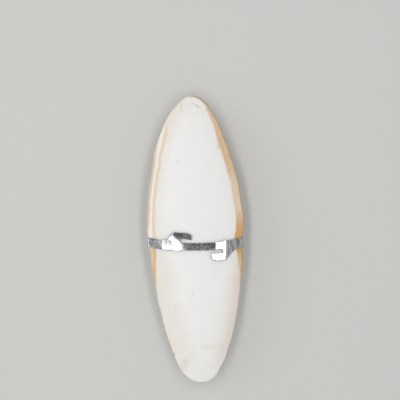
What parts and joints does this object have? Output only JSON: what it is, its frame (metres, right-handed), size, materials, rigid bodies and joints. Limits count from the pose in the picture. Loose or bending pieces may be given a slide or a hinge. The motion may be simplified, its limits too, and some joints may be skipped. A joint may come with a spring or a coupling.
{
  "type": "cuttlebone with wire holder",
  "caption": "Long oval white cuttlebone with a tan horny rim, held round the middle by a bright sheet-metal strip with a hook pointing each way.",
  "frame": {"origin": "on the surface it lies on, under the middle of its box", "axes": "+Z up out of the hard back with the hooks, +Y along the bone to its rear end with the wide horny rim, +X to the right seen from above with +Y up"},
  "size_m": [0.0727, 0.2146, 0.0243],
  "materials": {
    "chalky_bone": "matte",
    "bright_tinplate": "satin"
  },
  "bodies": {
    "root": {"cuttlebone": "chalky_bone", "holder": "bright_tinplate"}
  },
  "joints": []
}
